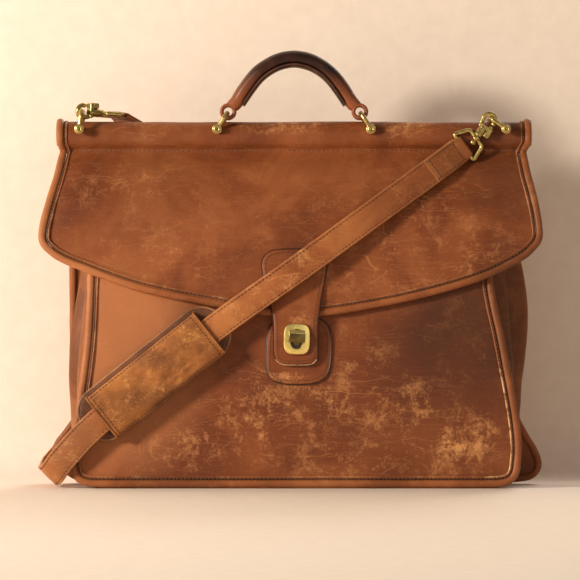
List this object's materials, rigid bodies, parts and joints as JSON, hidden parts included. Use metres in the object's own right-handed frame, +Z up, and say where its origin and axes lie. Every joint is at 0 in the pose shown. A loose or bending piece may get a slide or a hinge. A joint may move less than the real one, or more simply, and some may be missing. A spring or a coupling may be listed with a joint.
{
  "type": "briefcase",
  "caption": "Flap-front leather briefcase with turn lock, arched handle on wire shackles, folded gussets and a padded shoulder strap on swivel snap hooks.",
  "frame": {"origin": "middle of the base panel's flat underside, on the ground", "axes": "+X to the right seen from the front, -Y out of the front with the flap and lock, +Z up"},
  "size_m": [0.4403, 0.1323, 0.3794],
  "materials": {
    "body_leather": "worn pull-up leather, waxed",
    "binding_leather": "thin folded edge leather",
    "strap_leather": "two layers, stitched at both edges",
    "dark_leather": "darkened by handling, satin",
    "pad_leather": "soft nubuck, creased",
    "bright_brass": "polished",
    "antique_brass": "antiqued, rubbed bright on high spots",
    "bar_wood": "plain",
    "board": "pressed board",
    "felt": "felt"
  },
  "bodies": {
    "case": {"base_panel": "body_leather", "base_stiffener": "board", "back_panel": "body_leather", "back_binding": "binding_leather", "front_panel": "body_leather", "front_binding": "binding_leather", "gusset_left": "body_leather", "gusset_right": "body_leather", "lock_patch": "body_leather", "lock_base": "antique_brass", "lock_washer": "antique_brass", "top_bar": "bar_wood", "top_roll": "body_leather", "roll_end_left": "binding_leather", "roll_end_right": "binding_leather", "handle_pin_left": "antique_brass", "handle_pin_right": "antique_brass", "strap_pin_left": "antique_brass", "strap_pin_right": "antique_brass", "strap": "strap_leather"},
    "flap": {"flap_panel": "body_leather", "flap_binding": "binding_leather", "closure_tab": "body_leather", "lock_plate": "bright_brass", "lock_plate_back": "bright_brass"},
    "toggle": {"lock_toggle": "antique_brass"},
    "handle_shackle_left": {"handle_shackle_left": "antique_brass"},
    "handle_shackle_right": {"handle_shackle_right": "antique_brass"},
    "handle": {"handle_core": "dark_leather", "handle_cover": "dark_leather", "handle_lining": "dark_leather", "handle_loop_left": "body_leather", "handle_loop_right": "body_leather"},
    "strap_shackle_left": {"strap_shackle_left": "antique_brass"},
    "strap_shackle_right": {"strap_shackle_right": "antique_brass"},
    "hook_left": {"hook_body_left": "antique_brass", "hook_post_left": "antique_brass"},
    "hook_right": {"hook_body_right": "antique_brass", "hook_post_right": "antique_brass"},
    "trigger_left": {"hook_trigger_left": "antique_brass"},
    "trigger_right": {"hook_trigger_right": "antique_brass"},
    "ring_left": {"strap_ring_left": "antique_brass", "strap_loop_left": "strap_leather"},
    "ring_right": {"strap_ring_right": "antique_brass", "strap_loop_right": "strap_leather"},
    "pad": {"pad_base": "dark_leather", "pad_filling": "felt", "pad_cover": "pad_leather"}
  },
  "joints": [
    {"name": "flap_hinge", "type": "hinge", "parent": "case", "child": "flap", "pos_m": [0, -0.0214, 0.2736], "axis": [-1, 0, 0], "range_deg": [0, 125], "deforming": ["strap"]},
    {"name": "toggle_turn", "type": "hinge", "parent": "case", "child": "toggle", "pos_m": [0.0023, -0.06, 0.1287], "axis": [0, -1, 0], "range_deg": [0, 90]},
    {"name": "handle_shackle_left_swing", "type": "hinge", "parent": "case", "child": "handle_shackle_left", "pos_m": [-0.0669, 0, 0.3106], "axis": [0, 1, 0], "range_deg": [-8, 8]},
    {"name": "handle_shackle_right_swing", "type": "hinge", "parent": "case", "child": "handle_shackle_right", "pos_m": [0.0669, 0, 0.3106], "axis": [0, 1, 0], "range_deg": [-8.1, 8.1]},
    {"name": "handle_rock", "type": "hinge", "parent": "handle_shackle_left", "child": "handle", "pos_m": [-0.0582, 0, 0.3244], "axis": [0, 1, 0], "range_deg": [-9.3, 9.3]},
    {"name": "strap_shackle_left_swing", "type": "hinge", "parent": "case", "child": "strap_shackle_left", "pos_m": [-0.1865, 0, 0.3106], "axis": [0, 1, 0], "range_deg": [-8, 8]},
    {"name": "hook_left_swing", "type": "hinge", "parent": "strap_shackle_left", "child": "hook_left", "pos_m": [-0.1844, 0, 0.3266], "axis": [0, 1, 0], "range_deg": [-8.1, 8.1]},
    {"name": "trigger_left_slide", "type": "slide", "parent": "hook_left", "child": "trigger_left", "axis": [0.8059, 0.5855, -0.0872], "range_m": [0, 0.0034], "stiffness_N_per_m": 300, "springref_m": -0.002},
    {"name": "ring_left_swivel", "type": "hinge", "parent": "hook_left", "child": "ring_left", "pos_m": [-0.16818, 0.00542, 0.3248], "axis": [0.8059, 0.5855, -0.0872], "range_deg": [-12, 12]},
    {"name": "strap_shackle_right_swing", "type": "hinge", "parent": "case", "child": "strap_shackle_right", "pos_m": [0.184, 0, 0.3106], "axis": [0, 1, 0], "range_deg": [0, 14]},
    {"name": "hook_right_swing", "type": "hinge", "parent": "strap_shackle_right", "child": "hook_right", "pos_m": [0.1704, 0, 0.3199], "axis": [0, 1, 0], "range_deg": [-14.1, 0]},
    {"name": "trigger_right_slide", "type": "slide", "parent": "hook_right", "child": "trigger_right", "axis": [-0.5878, 0, -0.809], "range_m": [0, 0.0034], "stiffness_N_per_m": 300, "springref_m": -0.002},
    {"name": "ring_right_swivel", "type": "hinge", "parent": "hook_right", "child": "ring_right", "pos_m": [0.15804, -0.0175, 0.30282], "axis": [-0.5878, 0, -0.809], "range_deg": [-12, 0]},
    {"name": "pad_slide", "type": "slide", "parent": "case", "child": "pad", "axis": [0.7815, 0, 0.6239], "range_m": [-0.004, 0.03]}
  ],
  "couplings": [
    {"joint": "handle_shackle_right_swing", "follows": "handle_shackle_left_swing", "ratio": 1},
    {"joint": "handle_rock", "follows": "handle_shackle_left_swing", "ratio": -1.148},
    {"joint": "hook_left_swing", "follows": "strap_shackle_left_swing", "ratio": -1},
    {"joint": "hook_right_swing", "follows": "strap_shackle_right_swing", "ratio": -1}
  ]
}
